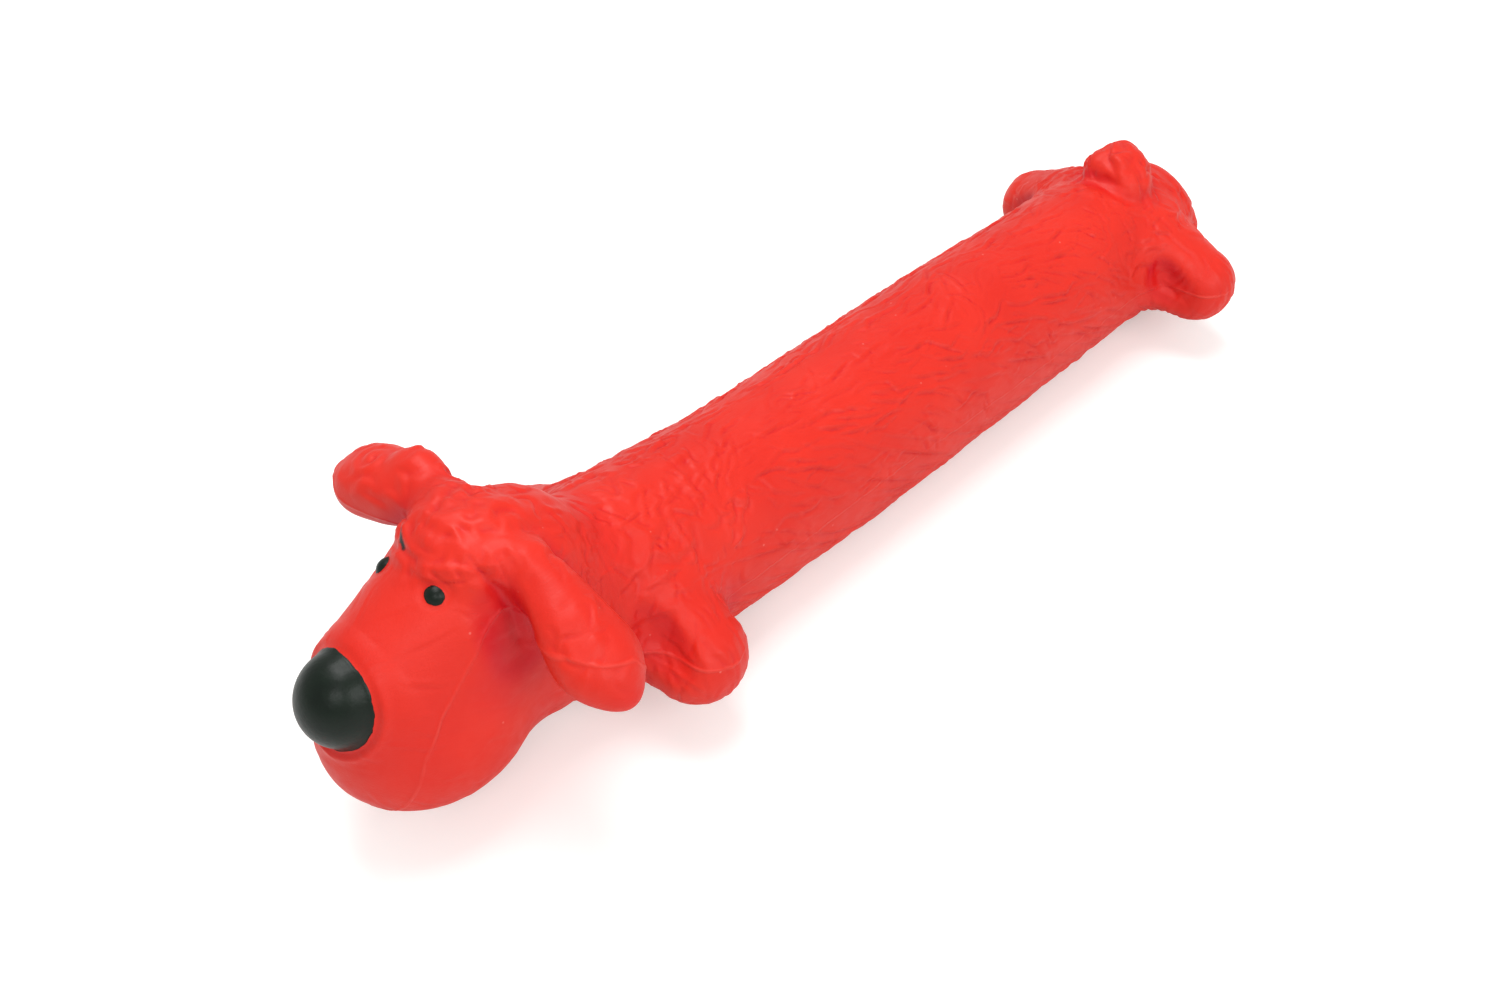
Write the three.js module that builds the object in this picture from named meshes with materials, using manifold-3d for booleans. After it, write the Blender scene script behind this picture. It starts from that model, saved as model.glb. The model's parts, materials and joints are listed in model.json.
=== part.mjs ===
// Long-bodied latex squeaky dog toy, cast in soft latex around a fibre filling and a squeaker.
// Millimetres. Nose towards -Y, tail towards +Y, the dog's left is +X, the floor is z = 0.
import * as THREE from 'three';
import { mergeVertices } from 'three/addons/utils/BufferGeometryUtils.js';
import Module from 'manifold-3d';

const wasm = await Module();
wasm.setup();

// Latex casting
const WALL = 2.2;                 // thickness of the skin
const GAP = 0.8;                  // clearance between pieces that move
const FLAT = 0.8;                 // how far the belly is flattened by resting on the floor
const AROUND = 24;                // facets around the body
const FACET = 0.06;               // smallest facet detail that is kept
const SHOULDER = { y: -65, rx: 22.2, rz: 25.0 };
const HAUNCH = { y: 130, rx: 19.6, rz: 21.8 };

// Flex zones, each hinged about the middle of a narrow gap
const NECK = [0, -84, 26];
const SPINE_FRONT = [0, -45, 24];
const SPINE_REAR = [0, 71, 22.5];
const HALF_GAP = 3.5;
const COLLAR = { neck: 17.0, front: 18.6, rear: 17.2 };
const COLLAR_REACH = 10;

// Lobes
const EAR_ROOT = [15.8, -101, 61.5];
const EAR = { ball: 6.0, halfWidth: 8.8, halfThick: 6.2, tip: 10 };
const EARS = [
  { side: 1, droop: 26, reach: 32.5, name: 'ear_left' },
  { side: -1, droop: 14, reach: 30.1, name: 'ear_right' },
];
const FORELEG = { root: [21.6, -67, 21.5], tip: [28.4, -66.5, 18.5], ball: 9.6, paw: 9.8 };
const HINDLEG = { root: [19.0, 123, 20.5], tip: [28.4, 124, 18.5], ball: 9.4, paw: 9.7 };
const TAIL = { centre: [0, 122.5, 43.2], ball: 7.4, tuft: 8.5, top: 9.3 };
const NOSE = { centre: [0, -138, 43.5], radius: 9.6, coat: 0.5 };
const EYE = { centre: [7.5, -118.9, 62.6], radius: 2.2 };

// Squeeze zone on the back, and the squeaker under it
const PANEL = { y0: -9, y1: 49, halfWidth: 15.4, stroke: 10 };
const SQUEAKER = { y: -25, z: 4.3, radius: 8.4, height: 7.6, wall: 1.1, nozzle: 2.6 };

const RED = 0xe0262b;
const BLACK = 0x121413;
const FIBRE = 0xf1efe9;
const WHITE_PLASTIC = 0xe9e6dc;
const REED_PLASTIC = 0x9fc4d8;

const group = new THREE.Group();

// Closed solid from a three.js geometry, with its faces turned outwards
function solid(geometry) {
  let shape = geometry.clone();
  shape.deleteAttribute('normal');
  shape.deleteAttribute('uv');
  shape = mergeVertices(shape, 1e-3);
  const position = shape.attributes.position;
  const index = shape.index.array;
  const kept = [];
  let volume = 0;
  const a = new THREE.Vector3();
  const b = new THREE.Vector3();
  const c = new THREE.Vector3();
  for (let i = 0; i < index.length; i += 3) {
    const [p, q, r] = [index[i], index[i + 1], index[i + 2]];
    if (p !== q && q !== r && r !== p) {
      kept.push([p, q, r]);
      a.fromBufferAttribute(position, p);
      b.fromBufferAttribute(position, q);
      c.fromBufferAttribute(position, r);
      volume += a.dot(b.cross(c));
    }
  }
  const faces = kept.map(([p, q, r]) => (volume < 0 ? [p, r, q] : [p, q, r]));
  return new wasm.Manifold(new wasm.Mesh({
    numProp: 3,
    vertProperties: new Float32Array(position.array),
    triVerts: new Uint32Array(faces.flat()),
  }));
}

function union(first, ...rest) {
  return rest.reduce((sum, item) => sum.add(item), first);
}

function cut(body, ...tools) {
  return tools.reduce((left, tool) => left.subtract(tool), body);
}

function addPiece(name, body, color, roughness) {
  const mesh = body.simplify(FACET).getMesh();
  const geometry = new THREE.BufferGeometry();
  const count = mesh.vertProperties.length / mesh.numProp;
  const points = new Float32Array(count * 3);
  for (let i = 0; i < count; i += 1) {
    for (let k = 0; k < 3; k += 1) {
      points[i * 3 + k] = mesh.vertProperties[i * mesh.numProp + k];
    }
  }
  geometry.setAttribute('position', new THREE.BufferAttribute(points, 3));
  geometry.setIndex(new THREE.BufferAttribute(new Uint32Array(mesh.triVerts), 1));
  geometry.computeVertexNormals();
  const material = new THREE.MeshStandardMaterial({ color, roughness, metalness: 0 });
  const piece = new THREE.Mesh(geometry, material);
  piece.name = name;
  group.add(piece);
}

// Half sizes of the body at a station along it
function halfSizes(y) {
  const t = (y - SHOULDER.y) / (HAUNCH.y - SHOULDER.y);
  const rx = THREE.MathUtils.lerp(SHOULDER.rx, HAUNCH.rx, t);
  const rz = THREE.MathUtils.lerp(SHOULDER.rz, HAUNCH.rz, t);
  return { rx, rz };
}

// Length of the oval, tapering body from y0 to y1, drawn in by inset
function tube(y0, y1, inset, around = AROUND) {
  const profile = [[0, y0], [1, y0], [1, (y0 + y1) / 2], [1, y1], [0, y1]];
  const shape = new THREE.LatheGeometry(profile.map(([r, y]) => new THREE.Vector2(r, y)), around);
  const p = shape.attributes.position;
  for (let i = 0; i < p.count; i += 1) {
    const { rx, rz } = halfSizes(p.getY(i));
    p.setXYZ(i, p.getX(i) * (rx - inset), p.getY(i), rz - FLAT + p.getZ(i) * (rz - inset));
  }
  return solid(shape);
}

function ellipsoid(centre, radii, inset = 0, around = 18, rings = 11, tilt = 0) {
  const shape = new THREE.SphereGeometry(1, around, rings);
  shape.scale(radii[0] - inset, radii[1] - inset, radii[2] - inset);
  shape.rotateX(THREE.MathUtils.degToRad(tilt));
  shape.translate(...centre);
  return solid(shape);
}

function ball(centre, radius, around = 14, rings = 9) {
  return ellipsoid(centre, [radius, radius, radius], 0, around, rings);
}

// Lobe turned from [distance, radius] pairs; spread widens it across the thick direction
function lobe(profile, origin, along, thick, around = 16, spread = () => 1) {
  const shape = new THREE.LatheGeometry(profile.map(([s, r]) => new THREE.Vector2(r, s)), around);
  const p = shape.attributes.position;
  for (let i = 0; i < p.count; i += 1) {
    p.setZ(i, p.getZ(i) * spread(p.getY(i)));
  }
  const across = new THREE.Vector3().crossVectors(thick, along);
  const place = new THREE.Matrix4().makeBasis(thick, along, across);
  shape.applyMatrix4(place.setPosition(...origin));
  return solid(shape);
}

// Points of an arc about a distance along a lobe, from one angle to another in degrees
function arc(centre, lengthwise, radius, angles) {
  return angles.map((angle) => {
    const turn = THREE.MathUtils.degToRad(angle);
    return [centre + lengthwise * Math.sin(turn), Math.max(0, radius * Math.cos(turn) - 1e-9)];
  });
}

function box(x0, x1, y0, y1, z0, z1) {
  const shape = new THREE.BoxGeometry(x1 - x0, y1 - y0, z1 - z0);
  shape.translate((x0 + x1) / 2, (y0 + y1) / 2, (z0 + z1) / 2);
  return solid(shape);
}

// Round bar between two points, with a radius at each end
function bar(from, to, r0, r1, around = 20) {
  const start = new THREE.Vector3(...from);
  const along = new THREE.Vector3(...to).sub(start);
  const shape = new THREE.CylinderGeometry(r1, r0, along.length(), around);
  shape.translate(0, along.length() / 2, 0);
  shape.applyQuaternion(new THREE.Quaternion().setFromUnitVectors(
    new THREE.Vector3(0, 1, 0),
    along.clone().normalize(),
  ));
  shape.translate(...from);
  return solid(shape);
}

function slab(y0, y1) {
  return box(-60, 60, y0, y1, -20, 100);
}

const belowFloor = box(-60, 60, -200, 200, -20, 0);

// Round-edged ring that backs a flex gap, open in the middle
function collar(centre, radius, y0, y1) {
  return ball(centre, radius, 18, 12).intersect(slab(y0, y1));
}

// Skin of the middle body
const midY = [SPINE_FRONT[1] + HALF_GAP, SPINE_REAR[1] - HALF_GAP];
const frontCollar = [SPINE_FRONT[1] - COLLAR_REACH, midY[0] + 3];
const rearCollar = [midY[1] - 3, SPINE_REAR[1] + COLLAR_REACH];
const midShell = cut(
  union(
    tube(midY[0], midY[1], 0),
    collar(SPINE_FRONT, COLLAR.front, ...frontCollar),
    collar(SPINE_REAR, COLLAR.rear, ...rearCollar),
  ),
  tube(midY[0] + WALL, midY[1] - WALL, WALL),
  collar(SPINE_FRONT, COLLAR.front - WALL, frontCollar[0] - 1, midY[0] + 6),
  collar(SPINE_REAR, COLLAR.rear - WALL, midY[1] - 6, rearCollar[1] + 1),
  belowFloor,
);
const panelSlot = box(
  -PANEL.halfWidth - GAP,
  PANEL.halfWidth + GAP,
  PANEL.y0 - GAP,
  PANEL.y1 + GAP,
  30,
  60,
);
const ventHole = bar([0, SQUEAKER.y, -2], [0, SQUEAKER.y, 6], SQUEAKER.nozzle + 0.4, SQUEAKER.nozzle + 0.4, 12);
addPiece('skin_body', cut(midShell, panelSlot, ventHole), RED, 0.5);

const panelBlank = box(-PANEL.halfWidth, PANEL.halfWidth, PANEL.y0, PANEL.y1, 30, 60);
addPiece('skin_back_panel', midShell.intersect(panelBlank), RED, 0.5);

// Skin of the chest, with a socket for each foreleg and a collar for the neck
const chestY = [NECK[1] + HALF_GAP, SPINE_FRONT[1] - HALF_GAP];
const neckCollar = [NECK[1] - COLLAR_REACH, chestY[0] + 3];
const legSockets = (leg, radius) => [1, -1].map((side) => (
  ball([side * leg.root[0], leg.root[1], leg.root[2]], radius)
));
const chestCavity = cut(
  tube(chestY[0] + WALL, chestY[1] + 1, WALL),
  ...legSockets(FORELEG, FORELEG.ball + GAP + WALL),
);
addPiece('skin_chest', cut(
  union(tube(chestY[0], chestY[1], 0), collar(NECK, COLLAR.neck, ...neckCollar)),
  chestCavity,
  collar(NECK, COLLAR.neck - WALL, neckCollar[0] - 1, chestY[0] + 6),
  ...legSockets(FORELEG, FORELEG.ball + GAP),
  belowFloor,
), RED, 0.5);

// Skin of the head: skull, muzzle, jaw, curly crown and the start of the neck
function headMass(inset, around, rings) {
  return union(
    ellipsoid([0, -99, 45], [18.5, 17, 23], inset, around, rings),
    ellipsoid([0, -118, 47.3], [16.3, 25, 17.6], inset, around, rings, 14),
    ellipsoid([0, -121, 24.8], [17.2, 21, 22.6], inset, around, rings),
    tube(-107, NECK[1] - HALF_GAP + (inset > 0 ? 1 : 0), inset + 1.6, around),
  );
}
const earSockets = (radius) => EARS.map(({ side }) => (
  ball([side * EAR_ROOT[0], EAR_ROOT[1], EAR_ROOT[2]], radius, 12, 8)
));
const eyes = [1, -1].map((side) => [side * EYE.centre[0], EYE.centre[1], EYE.centre[2]]);
const headBlank = union(
  headMass(0, 18, 11),
  ellipsoid([0, -103, 61], [15, 14, 9.5]),
  ball(NOSE.centre, NOSE.radius - NOSE.coat - 0.4),
);
addPiece('skin_head', cut(
  headBlank,
  slab(NECK[1] - HALF_GAP, -35),
  cut(headMass(WALL, 14, 8), ...earSockets(EAR.ball + GAP + WALL + 0.3)),
  ball(NECK, COLLAR.neck + GAP, 18, 12),
  ...earSockets(EAR.ball + GAP + 0.3),
  ...eyes.map((centre) => ball(centre, EYE.radius, 10, 6)),
  belowFloor,
), RED, 0.5);

// Black paint: a coat over the end of the nose, and a raised dot for each eye
const coatAngles = [18, 34, 50, 66, 78, 90];
const coatSection = [
  ...arc(0, NOSE.radius, NOSE.radius, coatAngles),
  ...arc(0, NOSE.radius - NOSE.coat + 0.04, NOSE.radius - NOSE.coat + 0.04, coatAngles).reverse(),
];
coatSection.push(coatSection[0]);
addPiece('nose_paint', lobe(
  coatSection,
  NOSE.centre,
  new THREE.Vector3(0, -1, 0),
  new THREE.Vector3(1, 0, 0),
), BLACK, 0.3);
eyes.forEach((centre, i) => {
  const radius = EYE.radius - 0.2;
  addPiece(`eye_paint_${i === 0 ? 'left' : 'right'}`, ball(centre, radius, 10, 6), BLACK, 0.35);
});

// Ears: a ball at the root and a flat lobe that hangs outwards
const halfBall = [-90, -60, -30, 0];
const halfTip = [0, 30, 60, 90];
EARS.forEach(({ side, droop, reach, name }) => {
  const turn = THREE.MathUtils.degToRad(droop);
  const along = new THREE.Vector3(side * Math.cos(turn), -0.04, -Math.sin(turn)).normalize();
  const thick = new THREE.Vector3(side * Math.sin(turn), 0, Math.cos(turn));
  const profile = [
    ...arc(0, EAR.ball, EAR.ball, halfBall),
    [4, EAR.ball * 0.88],
    [8, EAR.ball * 0.9],
    [15, EAR.halfThick],
    ...arc(reach - EAR.tip, EAR.tip, EAR.halfThick, halfTip),
  ];
  const widest = EAR.halfWidth / EAR.halfThick;
  const spread = (s) => 1 + (widest - 1) * THREE.MathUtils.smoothstep(s, 3, 15);
  const root = [side * EAR_ROOT[0], EAR_ROOT[1], EAR_ROOT[2]];
  addPiece(name, lobe(profile, root, along, thick, 16, spread), RED, 0.5);
});

// Forelegs and hind legs: short stubs with round paws
[[FORELEG, 'foreleg'], [HINDLEG, 'hind_leg']].forEach(([leg, label]) => {
  [[1, 'left'], [-1, 'right']].forEach(([side, hand]) => {
    const root = new THREE.Vector3(side * leg.root[0], leg.root[1], leg.root[2]);
    const along = new THREE.Vector3(side * leg.tip[0], leg.tip[1], leg.tip[2]).sub(root);
    const profile = [
      ...arc(0, leg.ball, leg.ball, halfBall),
      ...arc(along.length(), leg.paw, leg.paw, halfTip),
    ];
    along.normalize();
    const thick = new THREE.Vector3(0, 1, 0).cross(along).normalize();
    const straight = thick.clone().cross(along).cross(thick).normalize();
    addPiece(`${label}_${hand}`, lobe(profile, root.toArray(), straight, thick), RED, 0.5);
  });
});

// Skin of the rump, with sockets for the hind legs and the tail
const rumpY = SPINE_REAR[1] + HALF_GAP;
const rumpEnd = (inset) => ellipsoid([0, 132, 20.8], [19.2, 15.6, 21.4], inset, 20, 10);
const tailSocket = (radius) => ball(TAIL.centre, radius, 12, 8);
addPiece('skin_rump', cut(
  union(tube(rumpY, 132, 0), rumpEnd(0)),
  cut(
    union(tube(rumpY - 1, 132, WALL, 16), rumpEnd(WALL)),
    ...legSockets(HINDLEG, HINDLEG.ball + GAP + WALL),
    tailSocket(TAIL.ball + GAP + WALL),
  ),
  ...legSockets(HINDLEG, HINDLEG.ball + GAP),
  tailSocket(TAIL.ball + GAP),
  belowFloor,
), RED, 0.5);

// Pompom tail: a ball in the rump's socket with a wider tuft on top
addPiece('tail', lobe(
  [
    ...arc(0, TAIL.ball, TAIL.ball, halfBall),
    [2, TAIL.ball + 0.3],
    [4.2, TAIL.tuft],
    [6.6, TAIL.tuft * 0.88],
    [8.5, TAIL.tuft * 0.5],
    [TAIL.top, 0],
  ],
  TAIL.centre,
  new THREE.Vector3(0, 0, 1),
  new THREE.Vector3(1, 0, 0),
), RED, 0.5);

// Fibre filling, one wad in each length of the body
const FILL_INSET = WALL + 0.9;
const legRoom = (leg) => legSockets(leg, leg.ball + GAP + WALL + 0.6);
addPiece('fill_head', cut(
  union(
    ellipsoid([0, -118, 45.5], [15.2, 21, 17], FILL_INSET, 12, 8, 14),
    ellipsoid([0, -120, 25.5], [16.6, 19, 22], FILL_INSET, 12, 8),
  ),
  slab(-103, 0),
), FIBRE, 0.95);
addPiece('fill_chest', cut(
  tube(chestY[0] + WALL + 3, frontCollar[0] - 5.5, FILL_INSET, 14),
  ...legRoom(FORELEG),
), FIBRE, 0.95);
addPiece('fill_body', tube(SQUEAKER.y + SQUEAKER.radius + 2, midY[1] - 8, FILL_INSET, 14), FIBRE, 0.95);
addPiece('fill_rump', cut(
  union(
    tube(rearCollar[1] + 5.5, 132, FILL_INSET, 14),
    ellipsoid([0, 132, 20.8], [19.2, 15.6, 21.4], FILL_INSET + 0.3, 14, 8),
  ),
  ...legRoom(HINDLEG),
  tailSocket(TAIL.ball + GAP + WALL + 0.6),
), FIBRE, 0.95);

// Squeaker: a cup whose nozzle vents through the belly, with a reed on its seat under a pierced cap
const sq = SQUEAKER;
const disc = (r, z0, z1, around = 18) => bar([0, sq.y, z0], [0, sq.y, z1], r, r, around);
const floorZ = sq.z + sq.wall;
addPiece('squeaker_cup', cut(
  union(disc(sq.radius, sq.z, sq.z + sq.height), disc(sq.nozzle, 0.9, sq.z + 0.5, 12)),
  disc(sq.radius - sq.wall, floorZ, sq.z + sq.height + 1),
  disc(sq.nozzle - 0.9, 0, floorZ + 1, 12),
), WHITE_PLASTIC, 0.4);
const seatTop = floorZ + 2.4;
addPiece('squeaker_reed_seat', cut(
  disc(4.2, floorZ + 0.05, seatTop, 14),
  box(-1.3, 1.3, sq.y - 3.2, sq.y + 3.2, floorZ - 1, seatTop + 1),
), WHITE_PLASTIC, 0.4);
addPiece('squeaker_reed', box(-1.9, 1.9, sq.y - 3.6, sq.y + 3.6, seatTop + 0.3, seatTop + 0.75), REED_PLASTIC, 0.35);
const capHoles = [0, 1, 2, 3, 4, 5].map((k) => {
  const angle = (k * Math.PI) / 3;
  const x = 4.6 * Math.cos(angle);
  const y = sq.y + 4.6 * Math.sin(angle);
  return bar([x, y, floorZ], [x, y, 20], 0.9, 0.9, 6);
});
addPiece('squeaker_cap', cut(
  union(
    disc(sq.radius + 0.9, sq.z + sq.height + 0.05, sq.z + sq.height + 1.2),
    disc(sq.radius - sq.wall - 0.1, sq.z + sq.height - 1.2, sq.z + sq.height + 0.5),
  ),
  disc(sq.radius - sq.wall - 1.2, sq.z + sq.height - 3, sq.z + sq.height + 0.05),
  ...capHoles,
), WHITE_PLASTIC, 0.4);

export default group;
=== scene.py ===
"""A squeaky toy dog of dipped red latex, long and low, stuffed with fibre, on a white floor."""

import json
import math

import bpy
import numpy as np
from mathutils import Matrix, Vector


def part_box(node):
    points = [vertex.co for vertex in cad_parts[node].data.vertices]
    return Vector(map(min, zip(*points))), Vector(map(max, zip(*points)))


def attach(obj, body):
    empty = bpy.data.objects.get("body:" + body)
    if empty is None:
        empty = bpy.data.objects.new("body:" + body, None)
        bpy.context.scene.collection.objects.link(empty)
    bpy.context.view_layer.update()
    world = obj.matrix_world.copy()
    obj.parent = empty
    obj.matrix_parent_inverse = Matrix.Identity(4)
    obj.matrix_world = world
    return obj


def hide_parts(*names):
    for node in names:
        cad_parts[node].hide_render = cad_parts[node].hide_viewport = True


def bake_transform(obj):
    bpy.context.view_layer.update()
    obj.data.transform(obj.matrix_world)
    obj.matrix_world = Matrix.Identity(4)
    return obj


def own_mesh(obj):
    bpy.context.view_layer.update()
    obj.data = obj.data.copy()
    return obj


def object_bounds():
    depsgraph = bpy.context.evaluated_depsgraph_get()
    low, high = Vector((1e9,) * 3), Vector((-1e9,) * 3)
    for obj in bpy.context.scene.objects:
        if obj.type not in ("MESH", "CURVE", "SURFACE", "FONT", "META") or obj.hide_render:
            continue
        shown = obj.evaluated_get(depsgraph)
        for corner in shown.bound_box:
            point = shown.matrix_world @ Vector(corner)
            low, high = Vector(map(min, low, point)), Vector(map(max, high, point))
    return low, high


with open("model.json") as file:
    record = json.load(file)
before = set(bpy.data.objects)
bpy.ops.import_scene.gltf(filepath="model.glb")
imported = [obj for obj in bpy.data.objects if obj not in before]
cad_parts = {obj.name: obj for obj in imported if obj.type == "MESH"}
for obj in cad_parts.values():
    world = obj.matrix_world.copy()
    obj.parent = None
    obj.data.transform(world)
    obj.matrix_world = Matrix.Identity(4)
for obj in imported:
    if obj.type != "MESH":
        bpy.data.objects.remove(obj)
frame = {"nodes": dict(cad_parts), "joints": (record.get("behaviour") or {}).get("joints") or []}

cad_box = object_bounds()

# ------------------------------------------------------------------ the frame
# Shapes are worked out in millimetres, and meshes are made in metres.
MM = 0.001


def joint_at(name):
    """Where a joint's axis passes, in mm."""
    joint = next(j for j in frame["joints"] if j["name"] == name)
    return np.array(joint["pos_m"]) / MM


def node_box(name):
    """Lowest and highest corner of a CAD node, in mm."""
    low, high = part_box(name)
    return np.array(low) / MM, np.array(high) / MM


NECK = joint_at("neck_nod")
SPINE_FRONT = joint_at("spine_front_bend")
SPINE_REAR = joint_at("spine_rear_bend")
EAR_ROOT = joint_at("ear_left_flap")
FORELEG_ROOT = joint_at("foreleg_left_flex")
HINDLEG_ROOT = joint_at("hind_leg_left_flex")
TAIL_ROOT = joint_at("tail_flex")
NOSE_TIP = node_box("nose_paint")[0][1]
FORELEG_BOX = node_box("foreleg_left")
HINDLEG_BOX = node_box("hind_leg_left")

# ------------------------------------------------------------- shape, in mm
# Stations along the trunk: y, half width, half height, height of the centre.
TRUNK = np.array([
    (-91, 16.8, 20.6, 28.6),
    (-79, 19.0, 23.8, 27.9),
    (-65, 21.1, 24.9, 26.3),
    (-40, 21.2, 23.5, 24.3),
    (5, 21.1, 23.5, 22.9),
    (65, 20.7, 22.9, 23.0),
    (115, 19.4, 21.9, 22.1),
    (127, 18.7, 21.1, 21.0),
    (136, 17.3, 19.1, 20.1),
], float)
NECK_END = 16.0
RUMP_END = 10.6
LEFT, RIGHT = 1, -1
SIDES = {LEFT: "left", RIGHT: "right"}
NOSE_RADII = np.array([9.4, 10.0, 10.4])
NOSE_CENTRE = np.array([0, NOSE_TIP + 0.2 + NOSE_RADII[1], 43.7])
EYE_RADIUS = 2.6
EYE_DEPTH = 1.6
EYE_AT = {LEFT: np.array([6.9, -118.4, 63.0]), RIGHT: np.array([-11.0, -118.4, 60.2])}
EAR_DROOP = {LEFT: 29.0, RIGHT: 18.2}
EAR_REACH = {LEFT: 16.2, RIGHT: 15.8}
EAR_LOBE = {LEFT: (15.6, 8.2, 6.1), RIGHT: (15.4, 8.2, 6.7)}
FOREPAW, HINDPAW = 11.0, 9.8
LEG_SLOPE = 38.0
RIGHT_TEMPLE_DROP = 8.0
RIGHT_FORELEG_LIFT = 1.6
LEG_ROOT_RADIUS = 13.6
FORELEG_TIP = np.array([FORELEG_BOX[1][0] - FOREPAW - 1.2, FORELEG_ROOT[1], 20.6])
HINDLEG_TIP = np.array([HINDLEG_BOX[1][0] - HINDPAW - 0.8, HINDLEG_ROOT[1] + 1.6, 19.5])


def smin(a, b, k):
    """The lower of a and b, rounded over a width of k."""
    h = np.clip(0.5 + 0.5 * (b - a) / k, 0, 1)
    return b + (a - b) * h - k * h * (1 - h)


def smax(a, b, k):
    return -smin(-a, -b, k)


def ramp(x, low, high):
    """Smooth step from 0 at low to 1 at high."""
    t = np.clip((x - low) / (high - low), 0, 1)
    return t * t * (3 - 2 * t)


def mirrored(points):
    """The points with those on the right side moved to the left, for a shape that both sides share."""
    moved = points.copy()
    moved[:, 0] = np.abs(moved[:, 0])
    return moved


def ellipsoid(points, centre, radii, tilt=0.0):
    """Near distance to an ellipsoid, whose +X end is turned down by tilt degrees."""
    q = points - np.asarray(centre, float)
    if tilt:
        c, s = math.cos(math.radians(tilt)), math.sin(math.radians(tilt))
        x, z = q[:, 0].copy(), q[:, 2].copy()
        q[:, 2], q[:, 0] = c * z + s * x, c * x - s * z
    q = q / np.asarray(radii, float)
    k0 = np.sqrt((q ** 2).sum(-1))
    k1 = np.sqrt(((q / radii) ** 2).sum(-1))
    return k0 * (k0 - 1) / np.maximum(k1, 1e-9)


def bar(points, a, b, radius_a, radius_b):
    """Near distance to a round-ended bar whose radius runs from one to the other."""
    a = np.asarray(a, float)
    d = np.asarray(b, float) - a
    q = points - a
    t = np.clip(q @ d / (d @ d), 0, 1)
    return np.sqrt(((q - t[:, None] * d) ** 2).sum(-1)) - radius_a - (radius_b - radius_a) * t


TRUNK_CURVES = [np.polynomial.Polynomial.fit(TRUNK[:, 0], TRUNK[:, k], 6) for k in (1, 2, 3)]


def trunk_section(y):
    """Half width, half height and centre height of the trunk at y."""
    inside = np.clip(y, TRUNK[0, 0], TRUNK[-1, 0])
    return [curve(inside) for curve in TRUNK_CURVES]


def trunk(points):
    y = points[:, 1]
    half_width, half_height, centre = trunk_section(y)
    front = np.maximum(TRUNK[0, 0] - y, 0) / NECK_END
    rear = np.maximum(y - TRUNK[-1, 0], 0) / RUMP_END
    qx = points[:, 0] / half_width
    qz = (points[:, 2] - centre) / half_height
    k0 = np.sqrt(qx ** 2 + qz ** 2 + front ** 2 + rear ** 2)
    k1 = np.sqrt((qx / half_width) ** 2 + (qz / half_height) ** 2
                 + (front / NECK_END) ** 2 + (rear / RUMP_END) ** 2)
    return k0 * (k0 - 1) / np.maximum(k1, 1e-6)


def ear_point(side, reach, back=0.0, lift=0.0):
    """A point of an ear: reach runs out along it, back towards the tail, lift off its upper side."""
    c, s = math.cos(math.radians(EAR_DROOP[side])), math.sin(math.radians(EAR_DROOP[side]))
    x = EAR_ROOT[0] + reach * c + lift * s
    return np.array([side * x, EAR_ROOT[1] + back, EAR_ROOT[2] - reach * s + lift * c])


def ear(points, side):
    """A thick flap with a blunt round end, hanging from a narrower root."""
    stem = bar(points, ear_point(side, -3, 0.5), ear_point(side, 12, 0), 5.4, 6.3)
    reach = EAR_REACH[side]
    lobe = ellipsoid(points, ear_point(side, reach, 0), EAR_LOBE[side], side * EAR_DROOP[side])
    end = ellipsoid(points, ear_point(side, reach + 3.8, 0), (8.3, 8.5, 6.1), side * EAR_DROOP[side])
    d = smin(smin(stem, lobe, 4), end, 3)
    if side == RIGHT:
        curl = ellipsoid(points, ear_point(side, 4.7, 2.8, 4.7), (6.6, 4.2, 4.0))
        d = smin(d, curl, 3.0)
    return d


def leg(points, root, tip, paw_radius, hollow):
    """The nearer of a pair of stub legs, drooping outwards, with a hollow in its front face.
    The hollow is given from a point part of the way out along the leg."""
    points = mirrored(points)
    d = bar(points, root, tip, LEG_ROOT_RADIUS, paw_radius)
    middle = root + 0.62 * (tip - root) + hollow
    return smax(d, -ellipsoid(points, middle, (11.0, 4.8, 5.0), LEG_SLOPE), 3.6)


def foreleg(points):
    lifted = points.copy()
    lifted[:, 2] -= RIGHT_FORELEG_LIFT * ramp(-points[:, 0], 8, 20)
    return leg(lifted, FORELEG_ROOT + (-9.0, -1.0, 5.2), FORELEG_TIP, FOREPAW, (4.2, -10.2, 8.0))


def hindleg(points):
    return leg(points, HINDLEG_ROOT + (-6.4, -2.4, 3.8), HINDLEG_TIP, HINDPAW, (5.4, -11.6, 1.2))


def head(points):
    skull = ellipsoid(points, (0, -95.8, 45.2), (17.4, 18.3, 21.8))
    muzzle = bar(points, (0, -108, 48.8), (0, -127.6, 44.2), 17.4, 12.7)
    jaw = ellipsoid(points, (0, -119.6, 26.7), (20.3, 24.2, 19.8))
    chin = ellipsoid(points, (0, -114, 13.5), (12.5, 17.0, 12.3))
    return smin(smin(smin(skull, muzzle, 8), jaw, 12), chin, 4)


def temple(points):
    """The hollow between the cheek and the front edge of an ear, lower on the right side."""
    moved = mirrored(points)
    moved[:, 2] += RIGHT_TEMPLE_DROP * (points[:, 0] < 0)
    return bar(moved, (17.8, -111.8, 59.5), (22.0, -107.5, 47.5), 3.8, 5.6)


def tuft(points):
    return ellipsoid(points, (0, -103.6, 61.4), (14.7, 13.0, 9.5))


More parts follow.
